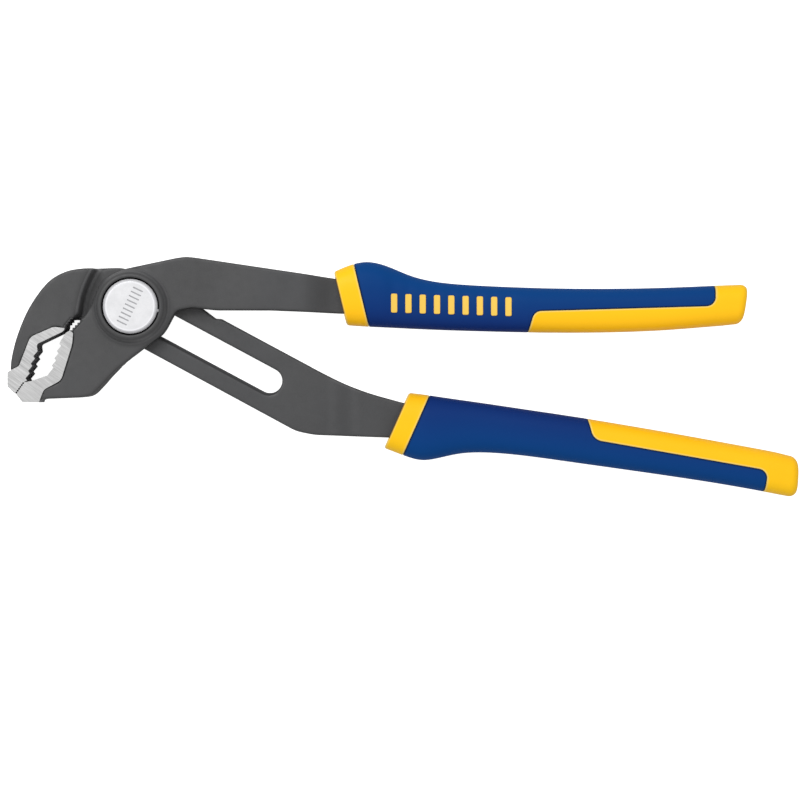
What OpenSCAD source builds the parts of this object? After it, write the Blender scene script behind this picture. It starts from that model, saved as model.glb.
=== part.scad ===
// Tongue and groove pliers, 10 inch, with a push button that frees the sliding joint.
// The tool lies on its back: X runs along the handles, Y across them, and Z points to the
// button side. The origin is on the pivot axis, in the flat rear face of the pivot pin.

/* [Plates] */
// height of the rear faces of the jaws and of the rear plate
rear_z = 2; // [1.5:0.1:3]
// height of the plane in which the two halves lie on each other
lap_z = 8; // [7:0.1:9]
// height of the front faces of the jaws and of the front plate
front_z = 13.5; // [12:0.1:15]
// air between the two halves in the lap plane
lap_gap = 0.1; // [0.04:0.02:0.3]
// how far the ground tooth pads stand proud of both jaw faces
pad_rise = 0.35; // [0.1:0.05:0.6]

/* [Slot] */
// direction of the slot, in degrees from +X
slot_angle = -28.2; // [-35:0.1:-20]
// distance between the two end centres of the slot
slot_length = 49.4; // [46:0.1:54]
// width of the smooth slot in the front lip of the rear plate
slot_w = 7.8; // [7:0.1:9]
// distance between two neighbouring positions of the joint
click_pitch = 1.8; // [1.5:0.1:2.4]
// steps between the narrowest and the widest setting
clicks = 24; // [18:6:24]

/* [Pivot and button] */
// radius of the pin's shank and journal
pin_r = 3.85; // [3:0.05:4.5]
// radius of the pin's rear head, and its thickness
head_r = 7.75; // [7:0.05:9]
// radius of the raised boss around the button
boss_r = 11.8; // [10:0.1:13]
// height of the top of the boss
boss_z = 16.5; // [15:0.1:18]
// radius of the counterbore that holds the button
well_r = 9.1; // [8:0.1:10]
// height of the counterbore's floor
well_z = 11; // [10:0.1:12]
// radius of the push button
button_r = 8.6; // [7.5:0.05:9.5]
// how far the button moves when it is pressed
press = 2.1; // [1.5:0.1:2.5]

/* [Teeth] */
// depth of the coarse teeth
tooth_d = 0.72; // [0.3:0.02:1]
// number of coarse teeth on each jaw
tooth_n = 4; // [3:1:6]
// depth of the teeth on both sides of the throat
throat_d = 0.48; // [0.2:0.02:0.6]
// depth of the fine serrations along the bite line
bite_d = 0.27; // [0.1:0.01:0.4]
// number of fine serrations along the bite line
bite_n = 6; // [4:1:8]
// air between the closed jaws
bite_gap = 0.08; // [0.04:0.02:0.3]

/* [Grips] */
// thickness of the coloured covers over the inner sleeves
cover_t = 2.2; // [1.5:0.1:3]
// tilt of the lower grip against the X axis
lower_tilt = -8.5; // [-12:0.1:-5]
// roundness of the grip's section, 1 is an ellipse and smaller is squarer
squareness = 0.72; // [0.5:0.02:1]
// points around the grip's section
ring_n = 24; // [16:4:32]

/* [Hidden] */
$fn = 48;
arc_step = 14; // degrees between the points of a rounded corner
far = 60; // reach of cutting shapes beyond the part
fuse = 0.3; // depth to which joined solids run into each other
front_lap_z = lap_z + lap_gap / 2;
rear_lap_z = lap_z - lap_gap / 2;
tang_t = 6; // thickness of the tangs, which are centred on the lap plane
tang_gap = 0.05; // air around the tangs inside the sleeves
travel = clicks * click_pitch;
slot_r = slot_w / 2;
bore_r = pin_r + 0.05;

// heights and half widths of the toothed channel behind the slot's front lip
lip_z = 6.5;
relief_z = 4.5;
channel_tip = 5.3;
channel_root = 6;
relief_r = 6.25;
ledge_w = 0.8;

// the cross key that the button moves out of the teeth
key_t = 1.8;
key_z = 4.6;
key_w = 3.8;
key_gap = 0.06;

// the parts on the pin, from the well's floor to the button
pin_top = 13;
ring_z = 11.92;
ring_t = 0.8;
groove_r = 3.3;
stem_r = 1.5;
cap_roof = 1.4;
button_top = boss_z + 0.1;
spring_r = 7.05;
wire_r = 0.3;

// ends of the bite line, from the throat side to the nose tip
bite_in = [-33.75, -23.9];
bite_out = [-36.3, -27.45];
bite_normal = [-0.815, 0.58];

// the lower grip's own frame starts here
lower_start = [80, -37];

function unit(v) = v / norm(v);
function flat(p) = [p[0], p[1]];
function left_of(v) = [-v[1], v[0]];

// corner b between a and c, rounded to the radius r
function corner(a, b, c, r) =
    let (u = unit(a - b),
         v = unit(c - b),
         half = acos(u * v) / 2,
         mid = b + unit(u + v) * r / sin(half),
         first = b + u * r / tan(half) - mid,
         turn = (2 * half - 180) * sign(u[0] * v[1] - u[1] * v[0]),
         n = max(2, ceil(abs(turn) / arc_step)))
    [for (i = [0 : n])
        let (t = turn * i / n)
        mid + [first[0] * cos(t) - first[1] * sin(t), first[0] * sin(t) + first[1] * cos(t)]];

// a closed outline in which every point [x, y, r] is rounded, and [x, y] is left sharp
function rounded(p) =
    let (m = len(p))
    [for (i = [0 : m - 1])
        let (b = p[i])
        each (len(b) == 2 ? [b]
              : corner(flat(p[(i + m - 1) % m]), flat(b), flat(p[(i + 1) % m]), b[2]))];

// a smooth curve through the points p, with n steps between two of them
function through(p, n = 3) =
    let (m = len(p) - 1)
    [for (i = [0 : m - 1])
        let (a = p[max(i - 1, 0)], b = p[i], c = p[i + 1], d = p[min(i + 2, m)])
        for (k = [0 : n - 1])
            let (t = k / n)
            (2 * b + (c - a) * t + (2 * a - 5 * b + 4 * c - d) * t * t
             + (3 * b - 3 * c + d - a) * t * t * t) / 2,
     p[m]];

// n saw teeth with their tips on the line from a to b, cut to the depth d on its left side
function teeth(a, b, n, d, lean) =
    let (w = (b - a) / n)
    [for (i = [0 : n - 1])
        each [a + w * i, a + w * (i + lean) + left_of(unit(w)) * d],
     b];

// height of an S-shaped step from z0 to z1 between the stations x0 and x1
function s_step(x0, x1, z0, z1) =
    [for (i = [0 : 8]) [x0 + (x1 - x0) * i / 8, (z0 + z1) / 2 + (z0 - z1) / 2 * cos(22.5 * i)]];

function reversed(p) = [for (i = [len(p) - 1 : -1 : 0]) p[i]];

// ---------- the two forgings ----------

// bite line, from the nose tip inwards, moved by g along its normal, with notches of the depth d
function bite(g, d) =
    teeth(bite_out + g * bite_normal, bite_in + g * bite_normal, bite_n, d, 0.5);

function front_outline() = rounded(concat(
    [[-34.2, -30.1, 0.8], [-28.9, -30.2], [-28.3, -29.15, 0.6], [-17, -28.7],
     [-12.6, -28.3, 5], [-5, -20.2, 20], [3.6, -13.4, 8], [10.3, -8.6, 9], [14.2, -1.2, 2.6],
     [19.2, -0.3, 3], [26.6, -1.1, 10], [44, -1.15], [68.5, -2.15, 4], [76, -1.9, 6],
     [88, -2.8, 20], [116, -3.4, 60],
     [188, -1.9, 2.5], [188, 3.2, 2.5], [116, 2.4, 60], [86, 4.5, 15], [76, 7.2, 8],
     [17, 15.95, 14], [-2.2, 11.9, 0.5], [-9.6, 8, 5], [-12.3, 1.2, 14], [-14.6, -3.2, 4]],
    teeth([-16.1, -4.3], [-19.2, -7.5], 4, throat_d, 0.5),
    [[-20.6, -8.4, 0.8], [-22.2, -11]],
    teeth([-22.5, -11.75], [-25.7, -20.9], tooth_n, tooth_d, 0.18),
    [[-26.2, -21.7, 0.6], [-31.4, -23.5]],
    reversed(bite(-bite_gap / 2, -bite_d))));

function jaw_back() = through(
    [[-3.9, 12.5], [-8, 12.45], [-15, 12.1], [-20.7, 11.05], [-26.4, 7.6], [-32, 0],
     [-35.8, -8.7], [-37.7, -16], [-38.1, -20.2]]);

function rear_outline() = rounded(concat(
    bite(bite_gap / 2, bite_d),
    teeth([-32.7, -23.4], [-29.4, -14.1], tooth_n, tooth_d, 0.22),
    [[-29.7, -11.9, 1], [-21.6, -8, 0.7], [-20.8, -7.1, 0.3]],
    teeth([-20.6, -6.4], [-18.6, -3.95], 3, throat_d, 0.5),
    [[-13.3, -4.15, 1], [51.8, -39.4, 10], [57.6, -40.6, 16], [84, -41.5, 6], [101.6, -41.3, 30],
     [196.8, -53.5, 2.5], [197.6, -48.3, 2.5], [102.7, -34.2, 30]],
    through([[86, -30.4], [82.3, -29.4], [74.7, -27.2], [67, -24.25], [59.4, -20.5],
             [55.6, -18.45]]),
    [[29, -4.2], [28.2, -3.7, 0.4], [26.4, -3.7, 0.4], [22, -0.35, 2], [0.3, 11.35, 2],
     [-2.7, 12.3, 0.5]],
    jaw_back(),
    [[-38.9, -20.7, 0.4], [-38.9, -25.2, 0.6], [-37, -27.1, 0.5]]));

// region of the ground pad at the lower jaw's teeth
function lower_pad() = rounded(
    [[-19.2, -7.6, 0.3], [-18.2, -8.3, 0.8], [-18.5, -12, 8], [-22, -23.3, 3.2],
     [-27.4, -26.2, 2.5], [-28.9, -30], [-29, -32], [-38, -32], [-38, -26], [-33, -21], [-21, -7.6]]);

// region of the ground pad at the upper jaw's teeth
function upper_pad() = rounded(
    [[-40, -20.6], [-38.7, -20.5], [-35.3, -18.8, 1.6], [-31.7, -9.6, 3], [-24.4, -6.4, 3],
     [-20.8, -6.8, 0.3], [-21.4, -8.7], [-27, -14], [-33, -28], [-40, -28]]);

module plate(outline, z0, z1) {
    translate([0, 0, z0])
        linear_extrude(height = z1 - z0)
            polygon(outline);
}

// what the outline keeps between the lower and upper side lines (x, z) of a forging
module forged(outline, side) {
    intersection() {
        plate(outline, -fuse, boss_z);
        translate([0, 2 * far, 0])
            rotate([90, 0, 0])
                linear_extrude(height = 4 * far)
                    polygon(side);
    }
}

module pad(outline, region) {
    intersection() {
        plate(outline, rear_z - pad_rise, front_z + pad_rise);
        plate(region, 0, boss_z);
    }
}

module front_forging() {
    // behind the lap plane the lower jaw ends where the opened rear arm comes to rest
    jaw_block = [[-45, -33], [2.2, -33], [-8.4, -7.5], [-14, -5], [-17.4, -6.2], [-19, -7.4],
                 [-45, -7.4]];
    bend = [54, 64];
    side = concat(
        [[-far, front_lap_z]],
        s_step(bend[0], bend[1], front_lap_z, lap_z - tang_t / 2),
        [[4 * far, lap_z - tang_t / 2], [4 * far, lap_z + tang_t / 2]],
        reversed(s_step(bend[0], bend[1], front_z, lap_z + tang_t / 2)),
        [[-far, front_z]]);
    color([0.33, 0.33, 0.34])
        difference() {
            union() {
                forged(front_outline(), side);
                intersection() {
                    plate(front_outline(), rear_z, lap_z + fuse);
                    plate(jaw_block, 0, boss_z);
                }
                pad(front_outline(), lower_pad());
                boss();
            }
            translate([0, 0, lap_z - fuse])
                cylinder(h = boss_z, r = bore_r);
            translate([0, 0, well_z])
                cylinder(h = boss_z, r = well_r);
        }
}

module boss() {
    rotate_extrude()
        polygon([[pin_r / 2, front_z - 1], [boss_r, front_z - 1], [boss_r, front_z],
                 [boss_r - 0.5, front_z + 1.4], [boss_r - 1.1, boss_z - 0.6],
                 [boss_r - 1.8, boss_z], [pin_r / 2, boss_z]]);
}

// a slot along the slot's direction, from the pivot to the far end
module slot(r, z0, z1) {
    rotate([0, 0, slot_angle])
        translate([0, 0, z0]) {
            cylinder(h = z1 - z0, r = r);
            translate([slot_length, 0, 0])
                cylinder(h = z1 - z0, r = r);
            translate([0, -r, 0])
                cube([slot_length, 2 * r, z1 - z0]);
        }
}

// one side of the zigzag that the key's teeth fit, moved outwards by grow
function rack(from, to, grow) =
    [for (i = [from : to])
        let (x = (i + 0.5) * click_pitch, w = grow * 0.8)
        each [[x - 0.62 - w, channel_tip], [x - 0.36 - w, channel_root + grow],
              [x + 0.36 + w, channel_root + grow], [x + 0.62 + w, channel_tip]]];

function mirrored(p) = [for (i = [len(p) - 1 : -1 : 0]) [p[i][0], -p[i][1]]];

module toothed_channel() {
    row = concat([[-1.8, channel_tip]], rack(-1, clicks, 0),
                 [[travel + 1.8, channel_tip]]);
    slot(channel_tip, relief_z - fuse, lip_z);
    rotate([0, 0, slot_angle])
        translate([0, 0, relief_z - fuse])
            linear_extrude(height = lip_z - relief_z + fuse)
                polygon(concat(row, mirrored(row)));
}

module rear_forging() {
    bend = [62, 72];
    side = concat(
        [[-far, rear_z]],
        s_step(bend[0], bend[1], rear_z, lap_z - tang_t / 2),
        [[4 * far, lap_z - tang_t / 2], [4 * far, lap_z + tang_t / 2]],
        reversed(s_step(bend[0], bend[1], rear_lap_z, lap_z + tang_t / 2)),
        [[-far, rear_lap_z]]);
    // the full jaw block ends at a curved, sloping wall to the left of the front plate
    wall_centre = [16.7, -5.6];
    wall_foot = 32.7;
    wall_slope = 1.2;
    run_out = [-15.5, -2.1];
    color([0.35, 0.35, 0.36])
        difference() {
            union() {
                forged(rear_outline(), side);
                difference() {
                    plate(rear_outline(), lap_z - fuse - 0.5, front_z);
                    translate([wall_centre[0], wall_centre[1], rear_lap_z])
                        cylinder(h = front_z + fuse - rear_lap_z, r1 = wall_foot,
                                 r2 = wall_foot + wall_slope, $fn = 160);
                    // the wall's straight end beside the throat
                    translate([run_out[0], run_out[1], rear_lap_z])
                        rotate([0, 0, -130])
                            rotate([90, 0, 90])
                                linear_extrude(height = 12)
                                    polygon([[0, 0], [-wall_slope, front_z - lap_z],
                                             [-wall_slope, far], [12, far], [12, 0]]);
                    translate([0, -far, rear_lap_z])
                        cube([5 * far, 2 * far, far]);
                }
                pad(rear_outline(), upper_pad());
            }
            slot(slot_r, 0, lap_z + 2);
            // ledge along the lower edge of the slot
            translate([ledge_w * sin(slot_angle), -ledge_w * cos(slot_angle), 0])
                slot(slot_r, rear_lap_z - ledge_w, lap_z + 2);
            toothed_channel();
            slot(relief_r, 0, relief_z);
        }
}

// ---------- pivot and button ----------

module pivot_pin() {
    window = key_w + 0.1;
    color([0.45, 0.45, 0.47])
        difference() {
            rotate_extrude()
                polygon([[0, 0], [head_r - 0.4, 0], [head_r, 0.4], [head_r, rear_z - 0.05],
                         [pin_r, rear_z - 0.05], [pin_r, pin_top - 0.3],
                         [pin_r - 0.3, pin_top], [0, pin_top]]);
            // groove for the retaining ring
            translate([0, 0, ring_z - 0.03])
                difference() {
                    cylinder(h = ring_t + 0.06, r = pin_r + 1);
                    translate([0, 0, -1])
                        cylinder(h = ring_t + 2, r = groove_r);
                }
            // window in which the key crosses the shank
            rotate([0, 0, slot_angle])
                translate([-window / 2, -2 * pin_r, key_z - press - 0.1])
                    cube([window, 4 * pin_r, press + key_t + 0.2]);
            translate([0, 0, key_z])
                cylinder(h = pin_top, r = stem_r + 0.06);
        }
}

module thrust_washer() {
    color([0.62, 0.62, 0.64])
        translate([0, 0, well_z + 0.02])
            difference() {
                cylinder(h = 0.84, r = 6.2);
                translate([0, 0, -1])
                    cylinder(h = 3, r = pin_r + 0.08);
            }
}

module retaining_ring() {
    color([0.3, 0.3, 0.32])
        translate([0, 0, ring_z])
            difference() {
                cylinder(h = ring_t, r = 5.3);
                translate([0, 0, -1])
                    cylinder(h = ring_t + 2, r = groove_r + 0.04);
                translate([0, -1.1, -1])
                    cube([8, 2.2, ring_t + 2]);
                // plier holes in the two ends
                for (side = [-1, 1])
                    rotate([0, 0, side * 24])
                        translate([4.35, 0, -1])
                            cylinder(h = ring_t + 2, r = 0.4);
            }
}

module push_button() {
    skirt_z = well_z + press + 0.2;
    inner_r = button_r - 1;
    bevel = 0.85;
    color([0.86, 0.86, 0.87])
        difference() {
            union() {
                rotate_extrude()
                    polygon([[0, skirt_z], [button_r, skirt_z], [button_r, button_top - bevel],
                             [button_r - bevel, button_top], [0, button_top]]);
                // small index nub on the rim
                rotate([0, 0, -8.6])
                    translate([button_r - 0.12, 0, skirt_z + 0.3])
                        cylinder(h = button_top - bevel - skirt_z - 0.6, r = 0.5);
            }
            translate([0, 0, skirt_z - 1])
                cylinder(h = button_top - cap_roof - skirt_z + 1, r = inner_r);
            translate([0, 0, button_top - cap_roof - 1])
                cylinder(h = 1.7, r = stem_r + 0.02);
            // a ladder of short shallow grooves across the face
            rotate([0, 0, 64])
                for (i = [-4 : 4])
                    translate([1.45 * i - 0.2, -1.7, button_top - 0.15])
                        cube([0.4, 3.4, 1]);
        }
}

module button_stem() {
    color([0.6, 0.6, 0.62])
        translate([0, 0, key_z + 0.1])
            cylinder(h = button_top - cap_roof + 0.6 - key_z, r = stem_r);
}

module lock_key() {
    half = channel_root - key_gap;
    row = concat([[-key_w / 2, channel_tip - 0.4]], [[-1.7, channel_tip - 0.4]],
        [for (x = [-0.9, 0.9])
            each [[x - 0.58, channel_tip - 0.15], [x - 0.3, half], [x + 0.3, half],
                  [x + 0.58, channel_tip - 0.15]]],
        [[1.7, channel_tip - 0.4]], [[key_w / 2, channel_tip - 0.4]]);
    color([0.42, 0.42, 0.45])
        rotate([0, 0, slot_angle])
            translate([0, 0, key_z])
                difference() {
                    linear_extrude(height = key_t)
                        polygon(concat(row, mirrored(row)));
                    translate([0, 0, -1])
                        cylinder(h = key_t + 2, r = stem_r + 0.02);
                }
}

module return_spring() {
    turns = 3;
    steps = 20;
    sides = 6;
    z0 = well_z + wire_r + 0.05;
    rise = button_top - cap_roof - 0.05 - wire_r - z0;
    rows = turns * steps;
    points = [for (i = [0 : rows])
        let (a = 360 * i / steps, z = z0 + rise * i / rows)
        for (k = [0 : sides - 1])
            let (b = 360 * k / sides, r = spring_r + wire_r * cos(b))
            [r * cos(a), r * sin(a), z + wire_r * sin(b)]];
    color([0.55, 0.55, 0.58])
        polyhedron(points, tube_faces(rows, sides));
}

// faces of a closed tube of rows + 1 rings with n points each
function tube_faces(rows, n) = concat(
    [[for (k = [0 : n - 1]) k]],
    [for (i = [0 : rows - 1], k = [0 : n - 1])
        let (a = i * n + k, b = i * n + (k + 1) % n)
        each [[a, a + n, b + n], [a, b + n, b]]],
    [[for (k = [n - 1 : -1 : 0]) rows * n + k]]);

// ---------- grips ----------

// stations along a grip: place, upper edge, lower edge, half thickness
function upper_stations() = through(
    [[60, 9.4, -5.1, 7], [64.1, 11.2, -5.4, 7.4], [68.5, 13.2, -5.8, 7.8], [74.5, 14.5, -6.2, 8],
     [81, 12.95, -6.5, 7.8], [88, 9.95, -6.85, 7.4], [96, 8, -7.2, 7.1], [108, 6.9, -7.6, 7],
     [130, 6, -8.1, 7], [150, 5.8, -8.05, 7], [168, 6.1, -7.4, 7.1], [184, 6.75, -6.15, 7.2],
     [189.5, 7, -5.75, 7], [192, 6.7, -5.3, 6.5], [193.6, 5.6, -4.2, 5.2], [194.2, 4.2, -3, 3.8]],
    2);

function lower_stations() = through(
    [[-2, 9.6, -7.1, 7], [3, 10.4, -8.1, 7.5], [8, 10.95, -9.2, 7.9], [13.4, 11, -9.9, 8],
     [19, 11, -8.1, 7.7], [25, 11.05, -5.8, 7.3], [33, 11.1, -4.3, 7], [45, 11.1, -3.5, 7],
     [62, 11.1, -3.3, 7], [85, 10.7, -3.1, 7], [105, 10.1, -3.1, 7.1], [120, 9.6, -3.45, 7.2],
     [127, 9.2, -3.8, 7], [129.4, 8.6, -3.6, 6.4], [131.2, 7.4, -2.5, 5], [131.8, 6, -1, 3.7]],
    2);

// the closed body of a grip, with its skin moved inwards by d and its far end slanted
module grip_body(stations, d, slant) {
    last = len(stations) - 1;
    span = stations[last][0] - stations[0][0];
    slant_reach = 8;
    points = [for (s = stations, k = [0 : ring_n - 1])
        let (a = 360 * k / ring_n,
             c = sign(cos(a)) * pow(abs(cos(a)), squareness),
             n = sign(sin(a)) * pow(abs(sin(a)), squareness),
             across = (s[1] - s[2]) / 2 * (1 - 2 * d / 14) * c,
             ramp = max(0, 1 - (stations[last][0] - s[0]) / slant_reach))
        [stations[0][0] + (s[0] - stations[0][0]) * (span - d) / span + slant * ramp * across,
         (s[1] + s[2]) / 2 + across,
         lap_z + s[3] * (1 - d / 7) * n]];
    polyhedron(points, tube_faces(last, ring_n));
}

// everything to the right of a line through [x, 0] that leans by the angle
module right_of(x, lean) {
    translate([x, 0, -far])
        rotate([0, 0, -lean])
            translate([0, -far, 0])
                cube([5 * far, 2 * far, 2 * far]);
}

// the sleeve on the tang, with its wide collar in front
module grip_sleeve(stations, mouth, seam, lean, slant) {
    intersection() {
        union() {
            grip_body(stations, cover_t + 0.02, slant);
            difference() {
                grip_body(stations, 0, slant);
                right_of(seam, lean[1]);
            }
        }
        right_of(mouth, lean[0]);
    }
}

module grip_cover(stations, seam, lean, region, slant) {
    difference() {
        grip_body(stations, 0, slant);
        grip_body(stations, cover_t, slant);
        translate([0, 0, -far])
            linear_extrude(height = 2 * far)
                polygon(region);
        difference() {
            translate([-far, -far, -far])
                cube([5 * far, 2 * far, 2 * far]);
            right_of(seam + 0.04, lean);
        }
    }
}

module grip_inlay(stations, region, slant) {
    intersection() {
        difference() {
            grip_body(stations, 0, slant);
            grip_body(stations, cover_t, slant);
        }
        translate([0.04, 0, -far])
            linear_extrude(height = 2 * far)
                polygon(region);
    }
}

// the tang's room inside a sleeve
module tang_room(outline) {
    translate([0, 0, lap_z - tang_t / 2 - tang_gap])
        linear_extrude(height = tang_t + 2 * tang_gap)
            polygon(outline);
}

upper_lean = [-13.1, -14.1];
upper_mouth = 66.6;
upper_seam = 73.5;
lower_lean = [15.7, 15.4];
upper_slant = 0.15;
lower_slant = -0.1;
lower_mouth = 3.1;
lower_seam = 9.65;
yellow = [0.98, 0.79, 0.13];
blue = [0.07, 0.25, 0.5];

function upper_region() = rounded(
    [[124.7, -14], [125.4, -8], [127.2, -1.5, 3], [184.1, 0.12, 3],
     [184.1, 14], [204, 14], [204, -14]]);

function lower_region() = rounded(
    [[62.5, 20], [63.4, 10.8], [65.8, 4.8, 4], [121.5, 3.35, 3], [121.5, -12],
     [144, -12], [144, 20]]);

module in_lower_frame() {
    translate([lower_start[0], lower_start[1], 0])
        rotate([0, 0, lower_tilt])
            children();
}

module upper_grip_sleeve() {
    color(yellow)
        difference() {
            grip_sleeve(upper_stations(), upper_mouth, upper_seam, upper_lean, upper_slant);
            tang_room(front_outline());
        }
}

module upper_grip_cover() {
    color(blue)
        difference() {
            grip_cover(upper_stations(), upper_seam, upper_lean[1], upper_region(), upper_slant);
            bar_row();
        }
}

module upper_grip_inlay() {
    color(yellow)
        grip_inlay(upper_stations(), upper_region(), upper_slant);
}

// a row of plain raised bars that stand in pockets on the front of the upper grip
module bar_row() {
    bars = 9;
    pitch = 4.5;
    proud = 0.35;
    skin = [for (s = upper_stations()) [s[0], lap_z + s[3]]];
    for (i = [0 : bars - 1]) {
        x = 83 + pitch * i;
        translate([x, -2 - 0.03 * pitch * i, lookup(x, skin) - cover_t / 2])
            linear_extrude(height = cover_t / 2 + proud)
                polygon(rounded([[-1, 0, 0.5], [1, 0, 0.5], [1, 6, 0.5], [-1, 6, 0.5]]));
    }
}

module upper_grip_bars() {
    color(yellow)
        bar_row();
}

module lower_grip_sleeve() {
    color(yellow)
        difference() {
            in_lower_frame()
                grip_sleeve(lower_stations(), lower_mouth, lower_seam, lower_lean, lower_slant);
            tang_room(rear_outline());
        }
}

module lower_grip_cover() {
    color(blue)
        in_lower_frame()
            grip_cover(lower_stations(), lower_seam, lower_lean[1], lower_region(), lower_slant);
}

module lower_grip_inlay() {
    color(yellow)
        in_lower_frame()
            grip_inlay(lower_stations(), lower_region(), lower_slant);
}

front_forging();
rear_forging();
pivot_pin();
thrust_washer();
retaining_ring();
push_button();
button_stem();
lock_key();
return_spring();
upper_grip_sleeve();
upper_grip_cover();
upper_grip_inlay();
upper_grip_bars();
lower_grip_sleeve();
lower_grip_cover();
lower_grip_inlay();
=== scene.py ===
"""Looks of the tongue and groove pliers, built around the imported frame.
Blender's lengths are metres. Plan outlines and the numbers of the helpers below are in mm."""
import math

import bmesh
import bpy
import numpy as np
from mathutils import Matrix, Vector
from mathutils.bvhtree import BVHTree


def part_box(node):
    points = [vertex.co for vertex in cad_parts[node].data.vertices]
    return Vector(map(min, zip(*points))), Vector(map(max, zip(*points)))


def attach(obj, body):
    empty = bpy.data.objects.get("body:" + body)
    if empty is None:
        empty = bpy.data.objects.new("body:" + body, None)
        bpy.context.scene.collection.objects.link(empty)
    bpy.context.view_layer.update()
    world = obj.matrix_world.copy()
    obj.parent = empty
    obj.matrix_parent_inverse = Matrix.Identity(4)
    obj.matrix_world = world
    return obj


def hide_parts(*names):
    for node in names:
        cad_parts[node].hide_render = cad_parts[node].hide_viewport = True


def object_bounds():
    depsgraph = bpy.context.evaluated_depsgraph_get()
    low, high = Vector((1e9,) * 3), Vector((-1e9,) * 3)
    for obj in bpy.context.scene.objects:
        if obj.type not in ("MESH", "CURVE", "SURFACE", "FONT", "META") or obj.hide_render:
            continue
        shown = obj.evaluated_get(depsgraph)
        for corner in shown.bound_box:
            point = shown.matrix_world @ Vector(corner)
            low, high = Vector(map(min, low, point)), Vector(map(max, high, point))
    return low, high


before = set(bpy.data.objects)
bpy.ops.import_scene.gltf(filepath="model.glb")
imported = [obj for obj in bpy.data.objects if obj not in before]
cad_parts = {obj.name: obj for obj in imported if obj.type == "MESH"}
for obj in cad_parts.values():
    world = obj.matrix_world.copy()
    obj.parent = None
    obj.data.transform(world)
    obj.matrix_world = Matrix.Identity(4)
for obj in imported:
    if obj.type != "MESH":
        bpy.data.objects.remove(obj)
cad_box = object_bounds()

MM = 0.001
LAP = 8.0  # mm, the plane in which the two halves meet, and the middle of both grips
SECTION = 0.72  # power of the grips' section, as in the CAD
FAR = 40.0  # mm, a start for measuring rays that is outside every piece
MERGE = 2e-6  # m, points closer than this are one point
STEP_CENTRE = (16.7, -5.6)  # mm, middle of the curved wall where the rear half's full jaw block ends
MIDDLE = (0.08, -0.03)  # m, about the middle of the tool in plan


# ---------- node helpers ----------

class Nodes:
    """Builds one material, with the noises and ramps it needs."""

    def __init__(self, name):
        self.mat = bpy.data.materials.new(name)
        self.mat.use_nodes = True
        self.tree = self.mat.node_tree
        self.bsdf = self.tree.nodes["Principled BSDF"]
        self.where = self.add("ShaderNodeTexCoord").outputs["Object"]

    def add(self, kind, **values):
        node = self.tree.nodes.new(kind)
        for key, value in values.items():
            setattr(node, key, value)
        return node

    def link(self, source, target):
        self.tree.links.new(source, target)

    def put(self, socket, value):
        """A number, a colour or a link into the Principled node's socket."""
        target = self.bsdf.inputs[socket]
        if isinstance(value, bpy.types.NodeSocket):
            self.link(value, target)
        else:
            target.default_value = value

    def stretched(self, scale, angles=(0, 0, 0)):
        """Object coordinates turned by angles and then scaled, in 1/m."""
        turn, stretch = self.add("ShaderNodeMapping"), self.add("ShaderNodeMapping")
        self.link(self.where, turn.inputs["Vector"])
        turn.inputs["Rotation"].default_value = angles
        self.link(turn.outputs["Vector"], stretch.inputs["Vector"])
        stretch.inputs["Scale"].default_value = scale
        return stretch.outputs["Vector"]

    def noise(self, scale, detail=3.0, vector=None, rough=0.5):
        node = self.add("ShaderNodeTexNoise")
        self.link(vector or self.where, node.inputs["Vector"])
        node.inputs["Scale"].default_value = scale
        node.inputs["Detail"].default_value = detail
        node.inputs["Roughness"].default_value = rough
        return node.outputs["Fac"]

    def cells(self, scale):
        node = self.add("ShaderNodeTexVoronoi")
        self.link(self.where, node.inputs["Vector"])
        node.inputs["Scale"].default_value = scale
        return node.outputs["Distance"]

    def ramp(self, value, low, high, out_low=0.0, out_high=1.0):
        node = self.add("ShaderNodeMapRange")
        node.clamp = True
        self.link(value, node.inputs["Value"])
        sockets = ("From Min", "From Max", "To Min", "To Max")
        for name, number in zip(sockets, (low, high, out_low, out_high)):
            node.inputs[name].default_value = number
        return node.outputs["Result"]

    def maths(self, operation, a, b):
        node = self.add("ShaderNodeMath", operation=operation)
        for socket, value in zip(node.inputs, (a, b)):
            if isinstance(value, bpy.types.NodeSocket):
                self.link(value, socket)
            else:
                socket.default_value = value
        return node.outputs[0]

    def mix(self, factor, a, b):
        """Colour between a and b."""
        node = self.add("ShaderNodeMix", data_type="RGBA")
        for socket, value in zip((node.inputs[0], node.inputs[6], node.inputs[7]), (factor, a, b)):
            if isinstance(value, bpy.types.NodeSocket):
                self.link(value, socket)
            else:
                socket.default_value = value
        return node.outputs[2]

    def attribute(self, name):
        return self.add("ShaderNodeAttribute", attribute_name=name).outputs["Fac"]

    def bevel(self, radius):
        """Normals as if the edges were rounded to the radius in mm."""
        node = self.add("ShaderNodeBevel", samples=6)
        node.inputs["Radius"].default_value = radius * MM
        return node.outputs["Normal"]

    def bump(self, height, distance, strength, normal=None):
        node = self.add("ShaderNodeBump")
        self.link(height, node.inputs["Height"])
        node.inputs["Distance"].default_value = distance * MM
        node.inputs["Strength"].default_value = strength
        if normal is not None:
            self.link(normal, node.inputs["Normal"])
        return node.outputs["Normal"]


def linear(r, g, b):
    """Linear colour of an 8-bit display colour."""
    return tuple(c / 12.92 if c <= 0.04045 else ((c + 0.055) / 1.055) ** 2.4
                 for c in (r / 255, g / 255, b / 255)) + (1.0,)


def scaled(colour, factor):
    return tuple(c * factor for c in colour[:3]) + (1.0,)


# ---------- materials ----------

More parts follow.
